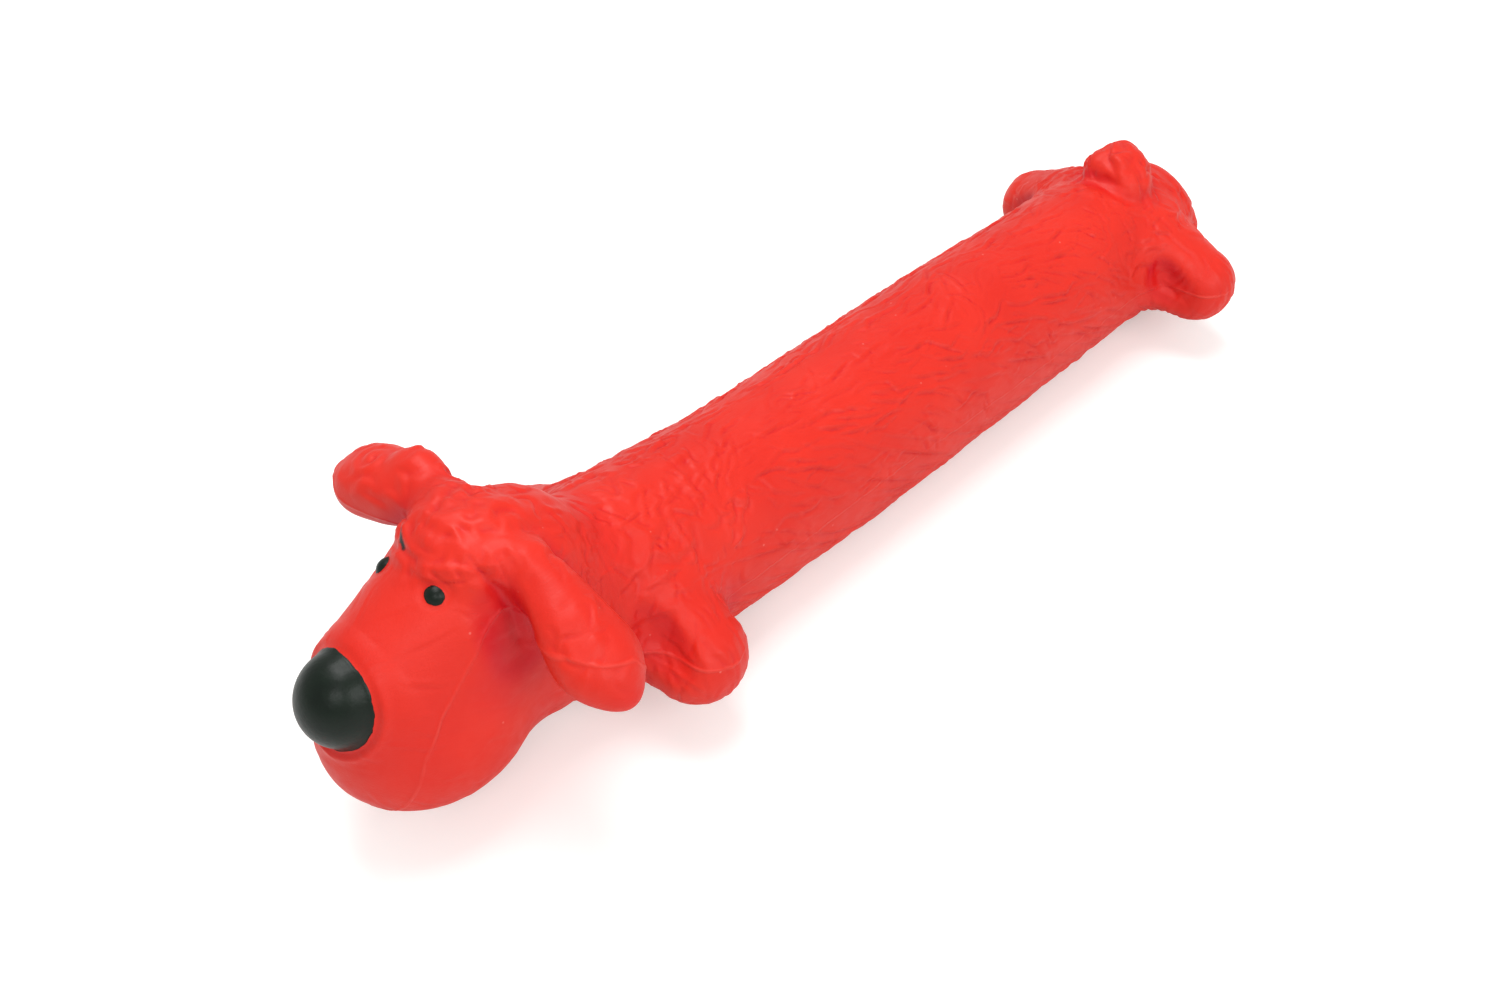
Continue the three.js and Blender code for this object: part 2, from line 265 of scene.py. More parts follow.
def tail(points):
    """A short docked knob with a lower lobe on its left and a small one on its right."""
    d = ellipsoid(points, TAIL_ROOT + (-0.5, -1.2, 0.5), (7.4, 8.2, 7.4))
    d = smin(d, ellipsoid(points, TAIL_ROOT + (4.4, -3.2, -0.6), (5.0, 6.6, 5.2)), 1.8)
    return smin(d, ellipsoid(points, TAIL_ROOT + (-5.0, -4.2, 1.4), (4.0, 5.0, 4.6)), 1.8)


def nose(points):
    return ellipsoid(points, NOSE_CENTRE, NOSE_RADII)


def bare_head(points):
    """The head and neck without the nose ball and the eye beads."""
    d = smin(trunk(points), head(points), 9)
    d = smin(d, tuft(points), 2.6)
    for side in SIDES:
        d = smin(d, ear(points, side), 2.5)
    return smax(d, -temple(points), 4.5)


def on_surface(field, points, rounds=4):
    """Points moved along the field's slope to where it is zero, and the outward normals there."""
    for _ in range(rounds):
        value, normal = slope(field, points)
        points = points - value[:, None] * normal
    return points, slope(field, points)[1]


def slope(field, points, reach=0.05):
    """The field at the points, divided by its steepness, and its direction of increase."""
    corners = np.array([(1, 1, 1), (1, -1, -1), (-1, 1, -1), (-1, -1, 1)], float)
    gradient = np.zeros_like(points)
    value = np.zeros(len(points))
    for corner in corners:
        sample = field(points + reach * corner)
        gradient += sample[:, None] * corner
        value += sample / 4
    gradient /= 4 * reach
    steepness = np.maximum(np.linalg.norm(gradient, axis=1), 1e-6)
    return value / steepness, gradient / steepness[:, None]


EYES = {}
for side in SIDES:
    spot, normal = on_surface(bare_head, EYE_AT[side][None])
    EYES[side] = (spot[0] - EYE_DEPTH * normal[0], normal[0])


def head_end(points):
    d = bare_head(points)
    d = smin(d, nose(points), 1.2)
    for centre, _ in EYES.values():
        bead = np.linalg.norm(points - centre, axis=1) - EYE_RADIUS
        d = smin(d, bead, 0.4)
    return smin(d, foreleg(points), 5)


def tail_end(points):
    d = smin(trunk(points), hindleg(points), 5)
    return smin(d, tail(points), 2.5)


# The plain trunk between the parts that the legs, the head and the tail reach.
PLAIN_FROM, PLAIN_TO = FORELEG_ROOT[1] + 24, TAIL_ROOT[1] - 28


def toy(points):
    """The whole skin, flattened where it rests on the floor."""
    d = np.empty(len(points))
    front = points[:, 1] < PLAIN_FROM
    rear = points[:, 1] > PLAIN_TO
    middle = ~(front | rear)
    for part, field in ((front, head_end), (rear, tail_end), (middle, trunk)):
        if part.any():
            d[part] = field(points[part])
    return smax(d, -points[:, 2], 1.6)


# ---------------------------------------------------------------- noise
GRADIENTS = np.random.default_rng(11).normal(size=(256, 3))
GRADIENTS /= np.linalg.norm(GRADIENTS, axis=1)[:, None]


def scrambled(cell, seed):
    """A number from 0 to 255 for each lattice cell."""
    c = cell.astype(np.uint32)
    h = c[:, 0] * np.uint32(374761393) + c[:, 1] * np.uint32(668265263) + c[:, 2] * np.uint32(2246822519)
    h = h + np.uint32(seed * 3266489 + 17)
    h = (h ^ (h >> np.uint32(15))) * np.uint32(2246822519)
    h = (h ^ (h >> np.uint32(13))) * np.uint32(3266489917)
    return (h ^ (h >> np.uint32(16))) & np.uint32(255)


def noise(points, seed):
    """Smooth noise of three-dimensional points, about -1 to 1."""
    cell = np.floor(points).astype(np.int64)
    f = points - cell
    u = f * f * f * (f * (f * 6 - 15) + 10)
    total = np.zeros(len(points))
    for corner in np.ndindex(2, 2, 2):
        offset = np.array(corner)
        weight = np.prod(np.where(offset, u, 1 - u), axis=1)
        total += weight * (GRADIENTS[scrambled(cell + offset, seed)] * (f - offset)).sum(1)
    return 1.7 * total


# ------------------------------------------------------------- surface net
def surface_net(field, low, high, step, block=4):
    """Even quads on the field's zero surface: vertices, outward normals and quads."""
    low = np.asarray(low, float)
    size = np.ceil((np.asarray(high) - low) / (step * block)).astype(int)
    coarse = np.stack(np.meshgrid(*[np.arange(n) for n in size], indexing="ij"), -1).reshape(-1, 3)
    middle = low + (coarse * block + (block - 1) / 2) * step
    rough = field(middle)
    value = rough.reshape(size)
    for axis in range(3):
        value = np.repeat(value, block, axis=axis)
    value = value.astype(np.float32)
    live = coarse[np.abs(rough) < 1.35 * step * block] * block
    for offset in np.ndindex(block, block, block):
        at = live + offset
        value[at[:, 0], at[:, 1], at[:, 2]] = field(low + at * step)
    inside = value < 0
    corners = list(np.ndindex(2, 2, 2))
    shape = np.array(inside.shape) - 1

    def corner_view(grid, corner):
        return grid[tuple(slice(c, c + n) for c, n in zip(corner, shape))]

    count = sum(corner_view(inside, c).astype(np.int8) for c in corners)
    cell = np.argwhere((count > 0) & (count < 8))
    number = np.full(shape, -1, np.int32)
    number[cell[:, 0], cell[:, 1], cell[:, 2]] = np.arange(len(cell))
    at_corner = np.stack([corner_view(value, c)[cell[:, 0], cell[:, 1], cell[:, 2]] for c in corners], 1)
    total = np.zeros((len(cell), 3))
    crossings = np.zeros(len(cell))
    for i, a in enumerate(corners):
        for j, b in enumerate(corners):
            if i < j and sum(abs(p - q) for p, q in zip(a, b)) == 1:
                va, vb = at_corner[:, i], at_corner[:, j]
                hit = (va < 0) != (vb < 0)
                t = np.where(hit, va / np.where(hit, va - vb, 1), 0)[:, None]
                total += hit[:, None] * ((1 - t) * a + t * np.array(b))
                crossings += hit
    vertices = low + (cell + total / crossings[:, None]) * step
    quads = []
    for axis in range(3):
        first = [slice(1, n) for n in shape]
        second = list(first)
        first[axis] = slice(0, shape[axis])
        second[axis] = slice(1, shape[axis] + 1)
        before, after = inside[tuple(first)], inside[tuple(second)]
        edge = np.argwhere(before != after)
        entering = after[edge[:, 0], edge[:, 1], edge[:, 2]]
        edge = edge + [int(k != axis) for k in range(3)]
        u, v = np.eye(3, dtype=int)[(axis + 1) % 3], np.eye(3, dtype=int)[(axis + 2) % 3]
        ring = [edge, edge - u, edge - u - v, edge - v]
        quad = np.stack([number[r[:, 0], r[:, 1], r[:, 2]] for r in ring], 1)
        quad[entering] = quad[entering][:, ::-1]
        quads.append(quad)
    quads = np.concatenate(quads)
    vertices, _ = on_surface(field, vertices, 2)
    for _ in range(3):
        vertices = evened(vertices, quads)
        vertices, normals = on_surface(field, vertices, 1)
    return vertices, normals, quads


def evened(vertices, quads):
    """Each vertex moved half way to the mean of its neighbours."""
    total = np.zeros_like(vertices)
    weight = np.zeros(len(vertices))
    for here in range(4):
        for other in (quads[:, (here + 1) % 4], quads[:, (here + 3) % 4]):
            for axis in range(3):
                total[:, axis] += np.bincount(quads[:, here], vertices[other, axis], len(vertices))
            weight += np.bincount(quads[:, here], minlength=len(vertices))
    return (vertices + total / weight[:, None]) / 2


def vertex_normals(vertices, quads):
    """Normals of a quad mesh, weighted by face area."""
    a, b, c, d = (vertices[quads[:, k]] for k in range(4))
    face = np.cross(c - a, d - b)
    normals = np.zeros_like(vertices)
    for k in range(4):
        for axis in range(3):
            normals[:, axis] += np.bincount(quads[:, k], face[:, axis], len(vertices))
    return normals / np.maximum(np.linalg.norm(normals, axis=1), 1e-12)[:, None]


# ------------------------------------------------------------- mould parting
# Height of the mould's parting surface along the toy: y, z.
PARTING = np.array([
    (-138, 16), (-135.7, 24.3), (-132, 34.3), (-126.5, 41.8), (-120.7, 47.2), (-113.8, 53.5),
    (-108, 57.0), (-98, 54.0), (-90, 42.0), (-80, 27.0), (-66, 24.2), (0, 24.4), (60, 22.6), (140, 21.4),
], float)


def parting_distance(points):
    """Signed distance from the line where the two mould halves met, in mm."""
    y = points[:, 1]
    height = np.interp(y, PARTING[:, 0], PARTING[:, 1])
    ahead, behind = (np.interp(y + half, PARTING[:, 0], PARTING[:, 1]) for half in (0.5, -0.5))
    return (points[:, 2] - height) / np.sqrt(1 + (ahead - behind) ** 2)


# ------------------------------------------------------------------ relief
# Whorls, where the hair turns: centre on the skin, radius, turn in radians.
WHORLS = [
    ((5.7, 47, 44.5), 7.0, 2.4),
    ((9.5, -69, 48), 8.0, 2.4),
    ((-3.0, -62, 50), 7.5, -2.4),
    ((16.0, -52, 41), 8.0, 2.0),
    ((-14.0, -52, 44), 8.0, -2.0),
    ((2.0, -44, 48), 8.0, 1.8),
    ((19.0, -77, 38), 7.0, -2.0),
    ((-19.0, -74, 38), 8.0, 2.0),
    ((12.0, 104, 41), 8.0, -1.8),
    ((-12.0, 108, 41), 8.0, 1.8),
    ((18.0, 132, 30), 8.0, 2.0),
    ((-18.0, 132, 30), 8.0, -2.0),
]


def scattered(points, mask, spacing, seed):
    """Indices of points spread about one spacing apart, where the mask allows."""
    rng = np.random.default_rng(seed)
    order = rng.permutation(len(points))
    cell = np.floor(points[order] / spacing + rng.uniform(0, 1, 3)).astype(np.int64)
    key = (cell[:, 0] * 4096 + cell[:, 1]) * 4096 + cell[:, 2]
    chosen = order[np.sort(np.unique(key, return_index=True)[1])]
    return chosen[rng.uniform(0, 1, len(chosen)) < mask[chosen]]


def hair_flow(point, normal, unruly, rng):
    """Direction of the hair at a point: towards the tail and outwards, turned by the whorls."""
    outwards = 0.026 * np.clip(point[0], -22, 22)
    down_the_leg = np.sign(point[0]) * ramp(abs(point[0]), 20, 27)
    angle = rng.normal(0, unruly) - outwards - down_the_leg
    for centre, radius, turn in WHORLS:
        angle += turn * math.exp(-np.sum((point - centre) ** 2) / radius ** 2)
    lengthwise = np.array([0.0, 1.0, 0.0])
    lengthwise -= (lengthwise @ normal) * normal
    lengthwise /= max(np.linalg.norm(lengthwise), 1e-6)
    return math.cos(angle) * lengthwise + math.sin(angle) * np.cross(normal, lengthwise)


S_SHAPED_SHARE = 0.5


def comb(points, normals, mask, seed, spacing, length, width, depth, bend, unruly):
    """Short curved grooves, each with a raised edge, as a tool leaves them in modelled hair."""
    rng = np.random.default_rng(seed)
    order = np.argsort(points[:, 1], kind="stable")
    place, facing = points[order], normals[order]
    height = np.zeros(len(points))
    for i in scattered(points, mask, spacing, seed):
        half = length * rng.uniform(0.6, 1.3) / 2
        breadth = width * rng.uniform(0.75, 1.3)
        deep = depth * rng.uniform(0.5, 1.3)
        sway = bend * rng.normal()
        s_shape = rng.uniform() < S_SHAPED_SHARE
        direction = hair_flow(points[i], normals[i], unruly, rng)
        span = slice(*np.searchsorted(place[:, 1], (points[i, 1] - half - 2, points[i, 1] + half + 2)))
        offset = place[span] - points[i]
        near = np.flatnonzero(((offset ** 2).sum(1) < (half + 2) ** 2) & (facing[span] @ normals[i] > 0.3))
        offset = offset[near]
        along = np.clip(offset @ direction / half, -1, 1)
        across = offset @ np.cross(normals[i], direction)
        across = across - sway * (np.sin(math.pi * along) if s_shape else 0.5 - along ** 2)
        across = across / breadth
        profile = 0.8 * np.exp(-(across - 1.5) ** 2 / 1.8) - 0.8 * np.exp(-across ** 2)
        height[span.start + near] += deep * (1 - along ** 2) ** 0.7 * profile
    result = np.empty(len(points))
    result[order] = height
    return result


def trail(points, path, width):
    """1 on a line through the path's points, falling to 0 within about two widths."""
    path = np.array(path, float)
    d = np.full(len(points), 1e3)
    for a, b in zip(path[:-1], path[1:]):
        d = np.minimum(d, bar(points, a, b, 0, 0))
    return np.exp(-(d / width) ** 2)


# The edge of the topknot over the brow, from the right ear's root to the left ear's.
HAIRLINE = [(-8.0, -112, 66.5), (-5.5, -114, 66), (0, -115.5, 66), (4.5, -114.3, 66), (9, -111, 66.3),
            (12, -108, 66.5), (13.5, -104, 68)]
# Small pits on top of the left ear: distance out along it and towards the tail.
EAR_PITS = [(0.9, -3.6), (17.9, 1.0), (13.5, 6.0), (10.0, -1.5)]
# The crease between the head and the front edge of the left ear, and its mirror image.
EAR_CREASE = [(11.5, -109.5, 66), (13.8, -108.2, 61.8), (15.4, -106.8, 56.1), (16.4, -105.8, 48)]
CHIN_FOLD = [(12.5, -136.5, 29.5), (15.0, -133, 29), (16.5, -130, 25.5)]


def spiral(points, normals, centre, radius, pitch):
    """A coiled lock: a spiral groove on a low mound."""
    offset = points - centre
    r = np.sqrt((offset ** 2).sum(1))
    near = r < radius
    wave = np.cos(np.arctan2(offset[near, 1], offset[near, 0]) + 2 * math.pi * r[near] / pitch)
    height = np.zeros(len(points))
    height[near] = (1 - (r[near] / radius) ** 2) * (0.35 + 0.65 * wave) * (normals[near, 2] > 0)
    return height


DEEPEST = 0.8


def relief(points, normals):
    """Height of the moulded hair over the smooth skin, in mm."""
    y, z = points[:, 1], points[:, 2]
    bare = ramp(nose(points), 0.3, 2.0)
    for centre, _ in EYES.values():
        bare *= ramp(np.linalg.norm(points - centre, axis=1), EYE_RADIUS, EYE_RADIUS + 1.6)
    on_ear = {side: 1 - ramp(ear(points, side), 0.4, 2.0) for side in SIDES}
    on_tuft = 1 - ramp(tuft(points), 0.5, 2.2)
    on_tail = 1 - ramp(tail(points), 0.3, 1.6)
    on_face = (1 - ramp(y, -108, -100)) * (1 - on_tuft)
    on_legs = 1 - ramp(np.minimum(foreleg(points), hindleg(points)), 0.3, 2.0)
    on_legs *= ramp(np.abs(points[:, 0]), 19, 24)
    on_trunk = (1 - on_face) * (1 - on_tuft) * (1 - on_tail) * (1 - on_legs)
    for side in SIDES:
        on_face *= 1 - on_ear[side]
        on_trunk *= 1 - on_ear[side]
    upper = ramp(normals[:, 2], -0.15, 0.35)
    chest = 1 - ramp(y, -50, -34)
    haunch = ramp(y, 92, 108)
    wild = np.maximum(chest, haunch)
    back = on_trunk * upper * (1 - wild)
    before_end = 1 - ramp(normals[:, 1], 0.4, 0.8)
    curly = on_tuft * ramp(z, 60, 64) + 0.35 * on_tail
    ear_top = np.maximum(on_ear[LEFT], on_ear[RIGHT]) * ramp(normals[:, 2], 0.1, 0.5) * (1 - on_tuft)

    tousled = on_trunk * upper * wild * before_end
    flank = on_trunk * (1 - upper) * before_end * ramp(y, -92, -80)
    # Mask, seed, spacing, length, width, depth, bend and how unruly each set of grooves is.
    grooves = [
        (0.8 * back, 71, 5.2, 11.0, 0.48, 0.32, 0.9, 0.22),
        (0.8 * back, 72, 4.4, 6.0, 0.40, 0.20, 0.5, 0.4),
        (tousled, 73, 6.8, 9.0, 1.0, 0.36, 1.8, 0.7),
        (0.8 * tousled, 74, 4.4, 5.0, 0.5, 0.27, 1.0, 1.0),
        (flank, 75, 5.0, 34.0, 0.5, 0.27, 0.5, 0.04),
        (curly, 76, 6.0, 9.0, 1.25, 0.50, 2.2, 1.6),
        (0.6 * curly, 77, 4.5, 5.0, 0.8, 0.22, 1.2, 1.6),
        (0.9 * on_tail, 82, 5.6, 8.0, 1.15, 0.42, 1.8, 1.2),
        (0.6 * ear_top, 78, 5.6, 6.5, 0.9, 0.28, 1.4, 1.2),
        (0.6 * on_face, 79, 6.5, 12.0, 0.5, 0.10, 0.6, 0.2),
        (0.8 * on_legs, 81, 4.6, 9.0, 0.6, 0.18, 0.6, 0.4),
    ]
    h = sum(comb(points, normals, *groove) for groove in grooves)
    h = DEEPEST * np.tanh(h / DEEPEST)
    h += 0.5 * trail(points, HAIRLINE, 0.9)
    h += 0.22 * trail(points, CHIN_FOLD, 0.6)
    h -= 0.9 * trail(mirrored(points), EAR_CREASE, 1.3)
    h += 0.45 * spiral(points, normals, ear_point(RIGHT, 15.5, -1, 6), 6.0, 3.2)
    h += 0.6 * np.exp(-((nose(points) - 1.9) / 0.9) ** 2) * (1 - ramp(np.abs(z - 38), 8, 16))
    for reach, back in EAR_PITS:
        h -= 0.5 * np.exp(-((points - ear_point(LEFT, reach, back, 6)) ** 2).sum(1) / 2.2)
    h += 0.20 * np.exp(-(parting_distance(points) / 0.45) ** 2) * (1 - ramp(y, -70, -60))
    lumpy = curly + on_tail + 0.5 * on_trunk * upper * wild + 0.6 * ear_top
    h += 0.55 * lumpy * noise(points / 6.5, 4) + 0.05 * (0.4 + lumpy) * noise(points / 2.4, 5)
    h += 0.3 + 0.20 * noise(points / 19, 1) + 0.10 * noise(points / 8, 2)
    return h * bare


# --------------------------------------------------------------------- meshes
def make_mesh(name, vertices, faces, normals=None, attributes=()):
    """A smooth mesh object from points in mm and faces of equal size, with named point attributes."""
    mesh = bpy.data.meshes.new(name)
    sides = faces.shape[1]
    mesh.vertices.add(len(vertices))
    mesh.vertices.foreach_set("co", (vertices * MM).astype(np.float32).ravel())
    mesh.loops.add(faces.size)
    mesh.loops.foreach_set("vertex_index", faces.astype(np.int32).ravel())
    mesh.polygons.add(len(faces))
    mesh.polygons.foreach_set("loop_start", np.arange(0, faces.size, sides, dtype=np.int32))
    mesh.update(calc_edges=True)
    mesh.shade_smooth()
    for key, values in dict(attributes).items():
        if values.ndim == 2:
            layer = mesh.attributes.new(key, "FLOAT_VECTOR", "POINT")
            layer.data.foreach_set("vector", values.astype(np.float32).ravel())
        else:
            layer = mesh.attributes.new(key, "FLOAT", "POINT")
            layer.data.foreach_set("value", values.astype(np.float32))
    if normals is not None:
        mesh.normals_split_custom_set_from_vertices(normals.tolist())
    obj = bpy.data.objects.new(name, mesh)
    bpy.context.scene.collection.objects.link(obj)
    return obj


# --------------------------------------------------------- node materials
def new_material(name):
    """A material with only a Principled shader, and that shader and its node tree."""
    material = bpy.data.materials.new(name)
    material.use_nodes = True
    tree = material.node_tree
    shader = next(n for n in tree.nodes if n.type == "BSDF_PRINCIPLED")
    return material, tree, shader


def add(tree, kind, settings=(), **inputs):
    """A new node. An input is a value or another node's output, and _2 stands for input number 2."""
    node = tree.nodes.new(kind)
    for key, value in dict(settings).items():
        setattr(node, key, value)
    for key, value in inputs.items():
        socket = node.inputs[int(key[1:])] if key[0] == "_" else node.inputs[key]
        if isinstance(value, bpy.types.NodeSocket):
            tree.links.new(value, socket)
        else:
            socket.default_value = value
    return node


def math_node(tree, operation, a, b=0.0):
    return add(tree, "ShaderNodeMath", {"operation": operation}, _0=a, _1=b).outputs[0]


def attribute(tree, name, output):
    return add(tree, "ShaderNodeAttribute", {"attribute_name": name}).outputs[output]


def stretched(tree, vector, x, y, z):
    return add(tree, "ShaderNodeMapping", Vector=vector, Scale=(x, y, z)).outputs[0]


def texture(tree, vector, scale, detail=2.0, roughness=0.5):
    return add(tree, "ShaderNodeTexNoise", Vector=vector, Scale=scale, Detail=detail,
               Roughness=roughness).outputs["Fac"]


def mapped(tree, value, low, high, to_low, to_high):
    return add(tree, "ShaderNodeMapRange", {"clamp": True}, _0=value, _1=low, _2=high,
               _3=to_low, _4=to_high).outputs[0]


def mixed(tree, factor, a, b):
    """Colour a to colour b by factor."""
    node = add(tree, "ShaderNodeMix", {"data_type": "RGBA"}, _0=factor)
    for socket, colour in ((node.inputs[6], a), (node.inputs[7], b)):
        if isinstance(colour, bpy.types.NodeSocket):
            tree.links.new(colour, socket)
        else:
            socket.default_value = (*colour, 1)
    return node.outputs[2]


def bumped(tree, shader, height, distance):
    bump = add(tree, "ShaderNodeBump", Height=height, Distance=distance, Strength=1.0)
    tree.links.new(bump.outputs[0], shader.inputs["Normal"])


RED, PALE_RED = (0.63, 0.014, 0.0045), (0.68, 0.019, 0.0065)
# Painted shade colours: a deeper red for the grooves of the moulded hair, and a crimson for deep creases
# and recesses.
GROOVE_SHADE_RED, CREASE_SHADE_RED = (0.52, 0.001, 0.009), (0.56, 0.0005, 0.008)
SPECK_PINK, SEAM_PINK = (0.75, 0.16, 0.13), (0.78, 0.08, 0.06)
MARK_BLACK = (0.006, 0.007, 0.006)


def red_latex():
    """Satin dipped latex: saturated red, with painted shade in the grooves and creases, and with hair
    lines and fine pits.
    """
    material, tree, shader = new_material("red_latex")
    place = attribute(tree, "place_mm", "Vector")
    hollow = attribute(tree, "hollow", "Fac")
    parting = attribute(tree, "parting_mm", "Fac")
    crease_shade = attribute(tree, "crease_shade", "Fac")
    mark = attribute(tree, "mark", "Fac")
    cloudy = texture(tree, place, 0.05, 3.0)
    colour = mixed(tree, mapped(tree, cloudy, 0.35, 0.65, 0, 1), RED, PALE_RED)
    # Painted shade: the grooves of the moulded hair are darkened towards a deeper red.
    colour = mixed(tree, mapped(tree, hollow, 0.05, 0.6, 0, 0.75), colour, GROOVE_SHADE_RED)
    speck = add(tree, "ShaderNodeTexVoronoi", Vector=place, Scale=0.16).outputs["Distance"]
    pale = mapped(tree, speck, 0.035, 0.05, 0.6, 0)
    colour = mixed(tree, pale, colour, SPECK_PINK)
    seam = mapped(tree, math_node(tree, "ABSOLUTE", parting), 0.15, 0.4, 0.34, 0.0)
    broken = mapped(tree, texture(tree, place, 0.09, 2.0), 0.42, 0.58, 0.3, 1.0)
    colour = mixed(tree, math_node(tree, "MULTIPLY", seam, broken), colour, SEAM_PINK)
    # Painted shade: creases and recesses that the skin shuts in are darkened towards crimson.
    colour = mixed(tree, mapped(tree, crease_shade, 0.08, 0.5, 0, 0.92), colour, CREASE_SHADE_RED)
    colour = mixed(tree, mark, colour, MARK_BLACK)
    tree.links.new(colour, shader.inputs["Base Color"])
    grain = texture(tree, place, 1.7, 3.0, 0.6)
    rough = mapped(tree, texture(tree, place, 0.35, 2.0), 0.3, 0.7, 0.42, 0.54)
    tree.links.new(rough, shader.inputs["Roughness"])
    hairs = texture(tree, stretched(tree, place, 1.3, 0.16, 1.3), 1.0, 2.0)
    hair_line = math_node(tree, "ABSOLUTE", math_node(tree, "SUBTRACT", hairs, 0.5))
    hair_line = mapped(tree, hair_line, 0.0, 0.07, 0.0, 0.012)
    line = mapped(tree, math_node(tree, "ABSOLUTE", parting), 0.1, 0.45, 0.16, 0.0)
    line = math_node(tree, "MULTIPLY", line, broken)
    height = math_node(tree, "MULTIPLY", grain, 0.03)
    height = math_node(tree, "ADD", height, hair_line)
    height = math_node(tree, "ADD", height, line)
    bumped(tree, shader, height, MM)
    shader.inputs["Specular IOR Level"].default_value = 0.31
    return material


def black_paint():
    """Thick black paint, faintly green where the light catches it, with brushed unevenness."""
    material, tree, shader = new_material("black_paint")
    place = attribute(tree, "place_mm", "Vector")
    tone = mapped(tree, texture(tree, place, 0.25, 3.0), 0.3, 0.7, 0, 1)
    colour = mixed(tree, tone, (0.0010, 0.0050, 0.0020), (0.0022, 0.0085, 0.0036))
    tree.links.new(colour, shader.inputs["Base Color"])
    rough = mapped(tree, texture(tree, place, 0.8, 3.0), 0.3, 0.7, 0.33, 0.40)
    tree.links.new(rough, shader.inputs["Roughness"])
    height = math_node(tree, "MULTIPLY", texture(tree, place, 0.9, 3.0, 0.6), 0.05)
    bumped(tree, shader, height, MM)
    shader.inputs["Specular IOR Level"].default_value = 0.25
    return material


def fibre_fill():
    """Loose white polyester fibre."""
    material, tree, shader = new_material("fibre_fill")
    place = attribute(tree, "place_mm", "Vector")
    strands = texture(tree, stretched(tree, place, 1.0, 0.25, 0.6), 1.4, 5.0, 0.7)
    colour = mixed(tree, strands, (0.62, 0.60, 0.56), (0.88, 0.87, 0.84))
    tree.links.new(colour, shader.inputs["Base Color"])
    shader.inputs["Roughness"].default_value = 0.9
    shader.inputs["Sheen Weight"].default_value = 0.4
    bumped(tree, shader, strands, 1.5 * MM)
    return material


def moulded_plastic(name, light, dark, roughness):
    """Injection-moulded plastic with a fine grain, whose scales are per metre."""
    material, tree, shader = new_material(name)
    place = add(tree, "ShaderNodeTexCoord").outputs["Object"]
    cloudy = texture(tree, place, 180.0, 3.0)
    tree.links.new(mixed(tree, cloudy, light, dark), shader.inputs["Base Color"])
    grain = texture(tree, place, 2600.0, 2.0)
    rough = mapped(tree, grain, 0.3, 0.7, roughness - 0.05, roughness + 0.08)
    tree.links.new(rough, shader.inputs["Roughness"])
    bumped(tree, shader, grain, 0.02 * MM)
    return material


# ------------------------------------------------------------------ the skin
QUICK_STEP, FINE_STEP = 0.9, 0.55
MARGIN = 4
step = FINE_STEP
toy_low = np.array(cad_box[0]) / MM - MARGIN
toy_high = np.array(cad_box[1]) / MM + MARGIN
smooth, smooth_normals, quads = surface_net(toy, toy_low, toy_high, step)
height = relief(smooth, smooth_normals)
skin = smooth + height[:, None] * smooth_normals
skin[:, 2] = np.maximum(skin[:, 2], 0)
normals = vertex_normals(skin, quads)
# How far each point lies below the mean height round it: 0 on a ridge, 1 in a deep groove. It sets how
# much painted shade the grooves get.
around_height = height
for _ in range(5):
    around_height = evened(np.repeat(around_height[:, None], 3, 1), quads)[:, 0]
hollow = np.clip((around_height - height) * 2.0, 0, 1)
# How far the skin shuts in each point: 0 in the open, near 1 in a deep crease. It sets how much painted
# shade the creases and recesses get.
crease_shade = np.zeros(len(smooth))
LOOK_OUT = (3.0, 7.0, 14.0)
for distance in LOOK_OUT:
    crease_shade += np.clip(1 - toy(smooth + distance * smooth_normals) / distance, 0, 1) / len(LOOK_OUT)

# The small black slit in the crease beside the right ear's root.
MARK_FROM, MARK_TO = np.array([-8.5, -112.6, 65.6]), np.array([-5.7, -114.9, 64.8])
mark = 1 - ramp(bar(smooth, MARK_FROM, MARK_TO, 0.5, 0.3), 0.1, 0.45)

# Each body's weight rises from 0 at the first value to 1 at the second: towards the nose for the neck and
# front bend, towards the rump for the rear bend, upwards for the tail, out from the middle for the legs,
# and out along the ear.
NECK_BLEND = (-NECK[1] - 5, -NECK[1] + 5)
FRONT_BLEND = (-SPINE_FRONT[1] - 14, -SPINE_FRONT[1] + 11)
REAR_BLEND = (SPINE_REAR[1] - 13, SPINE_REAR[1] + 14)
TAIL_BLEND = (40.5, 47.0)
LEG_BLEND = (20.0, 28.5)
EAR_BLEND = (0.5, 10.0)
# Behind the ears, where the skin belongs to the neck again.
EAR_BACK = (-91.2, -89.2)
# The dent in the back fades out lengthwise, sideways and down the flanks.
DENT_LENGTH, DENT_WIDTH, DENT_HEIGHT = (8, 34), (4, 17), (26, 34)


def leg_weight(points, field, root):
    reach = ramp(np.abs(points[:, 0]), *LEG_BLEND)
    return reach * (1 - ramp(field(points), 0.5, 3.0)) * (1 - ramp(np.abs(points[:, 1] - root[1]), 8, 12))


def ear_weight(points, side):
    out = ear_point(side, 1) - ear_point(side, 0)
    along = (points - ear_point(side, 0)) @ out
    near = 1 - ramp(ear(points, side), 0.4, 1.8)
    return ramp(along, *EAR_BLEND) * near * (1 - ramp(points[:, 1], *EAR_BACK))


